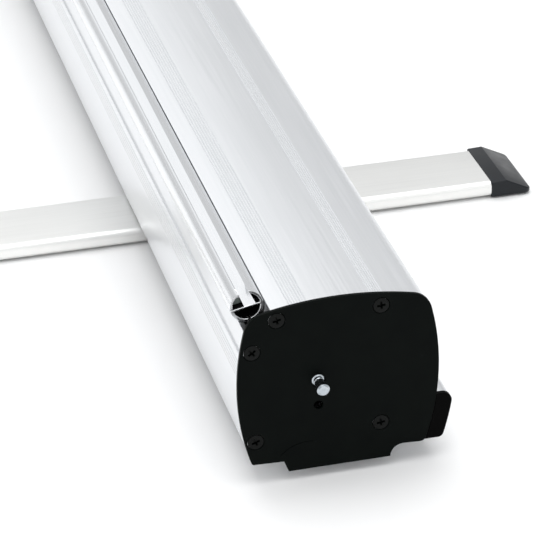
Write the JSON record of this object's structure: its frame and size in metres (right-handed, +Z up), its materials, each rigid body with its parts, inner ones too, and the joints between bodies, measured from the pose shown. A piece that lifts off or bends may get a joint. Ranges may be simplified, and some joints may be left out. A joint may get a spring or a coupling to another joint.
{
  "type": "roll-up banner stand",
  "caption": "Long retractable banner casing with a sprung roller inside, a round clamping top rail docked in its slot, swing-out flat feet and a nested support pole.",
  "frame": {"origin": "on the floor, under the middle of the casing", "axes": "+X along the banner's width towards the tension pin, -Y to the banner's front, +Z up"},
  "size_m": [1.0465, 0.367, 0.0982],
  "materials": {
    "casing_aluminium": "satin silver anodised extrusion",
    "rail_aluminium": "satin silver anodised extrusion",
    "foot_aluminium": "satin silver anodised extrusion",
    "tube_aluminium": "drawn tube, clear anodised",
    "black_steel": "black powder coat on sheet steel",
    "black_screws": "black oxide countersunk screws",
    "bright_steel": "zinc-plated steel",
    "spring_steel": "oiled spring wire",
    "black_plastic": "black moulded ABS, fine grain",
    "cap_plastic": "charcoal moulded ABS, satin",
    "grey_plastic": "grey moulded nylon",
    "nylon": "natural moulded nylon",
    "banner_film": "blank white banner film",
    "rubber": "black rubber"
  },
  "bodies": {
    "cassette": {"base_shell": "casing_aluminium", "top_shell": "casing_aluminium", "rear_rail": "casing_aluminium", "rear_cap_near": "black_plastic", "rear_cap_far": "black_plastic", "end_plate_near": "black_steel", "end_plate_far": "black_steel", "plate_screws_near": "black_screws", "plate_screws_far": "black_screws", "end_block_near": "black_plastic", "end_block_far": "black_plastic", "far_axle": "bright_steel", "foot_bolt_near": "bright_steel", "foot_bolt_far": "bright_steel", "foot_washer_near": "rubber", "foot_washer_far": "rubber", "nut_plate_near": "bright_steel", "nut_plate_far": "bright_steel", "pole_socket": "black_plastic", "socket_screws": "bright_steel", "pole_cradles": "black_plastic", "cradle_screws": "bright_steel"},
    "tension_axle": {"tension_pin": "bright_steel", "lock_disc": "bright_steel", "spring_shaft": "bright_steel"},
    "roller": {"roller_tube": "tube_aluminium", "roller_plug_near": "nylon", "roller_plug_far": "nylon", "film_roll": "banner_film", "spring_anchor": "nylon", "torsion_spring": "spring_steel"},
    "top_rail": {"rail_body": "rail_aluminium", "rail_plugs_near": "grey_plastic", "rail_plugs_far": "grey_plastic", "hem_bead": "banner_film", "banner_film": "banner_film"},
    "rail_clamp": {"rail_jaw": "rail_aluminium"},
    "foot_near": {"foot_bar_near": "foot_aluminium", "foot_hub_near": "nylon", "foot_caps_near": "cap_plastic", "foot_pads_near": "rubber"},
    "foot_far": {"foot_bar_far": "foot_aluminium", "foot_hub_far": "nylon", "foot_caps_far": "cap_plastic", "foot_pads_far": "rubber"},
    "pole_base": {"pole_lower": "tube_aluminium", "pole_foot": "black_plastic", "pole_collars": "black_plastic"},
    "pole_centre": {"pole_middle": "tube_aluminium"},
    "pole_end": {"pole_upper": "tube_aluminium", "pole_hook": "black_plastic"}
  },
  "joints": [
    {"name": "foot_near_swivel", "type": "hinge", "parent": "cassette", "child": "foot_near", "pos_m": [0.242, 0, 0.006], "axis": [0, 0, 1], "range_deg": [0, 90]},
    {"name": "foot_far_swivel", "type": "hinge", "parent": "cassette", "child": "foot_far", "pos_m": [-0.242, 0, 0.006], "axis": [0, 0, 1], "range_deg": [0, 90]},
    {"name": "rail_lift", "type": "slide", "parent": "cassette", "child": "top_rail", "axis": [0, 0, 1], "range_m": [0, 2], "stiffness_N_per_m": 5, "springref_m": -1, "deforming": ["banner_film"]},
    {"name": "roller_spin", "type": "hinge", "parent": "cassette", "child": "roller", "pos_m": [0, -0.0099, 0.0526], "axis": [1, 0, 0], "range_deg": [0, 5500]},
    {"name": "clamp_open", "type": "hinge", "parent": "top_rail", "child": "rail_clamp", "pos_m": [0, -0.04461, 0.09596], "axis": [-1, 0, 0], "range_deg": [0, 45]},
    {"name": "tension_turn", "type": "hinge", "parent": "cassette", "child": "tension_axle", "pos_m": [0.5, -0.0099, 0.0526], "axis": [1, 0, 0], "continuous": true},
    {"name": "pole_lift_out", "type": "slide", "parent": "cassette", "child": "pole_base", "axis": [0, 0.766, 0.6428], "range_m": [0, 0.15]},
    {"name": "pole_extend_centre", "type": "slide", "parent": "pole_base", "child": "pole_centre", "axis": [1, 0, 0], "range_m": [0, 0.65]},
    {"name": "pole_extend_end", "type": "slide", "parent": "pole_centre", "child": "pole_end", "axis": [1, 0, 0], "range_m": [0, 0.65]}
  ],
  "couplings": [
    {"joint": "roller_spin", "follows": "rail_lift", "rad_per_m": 47.62}
  ]
}
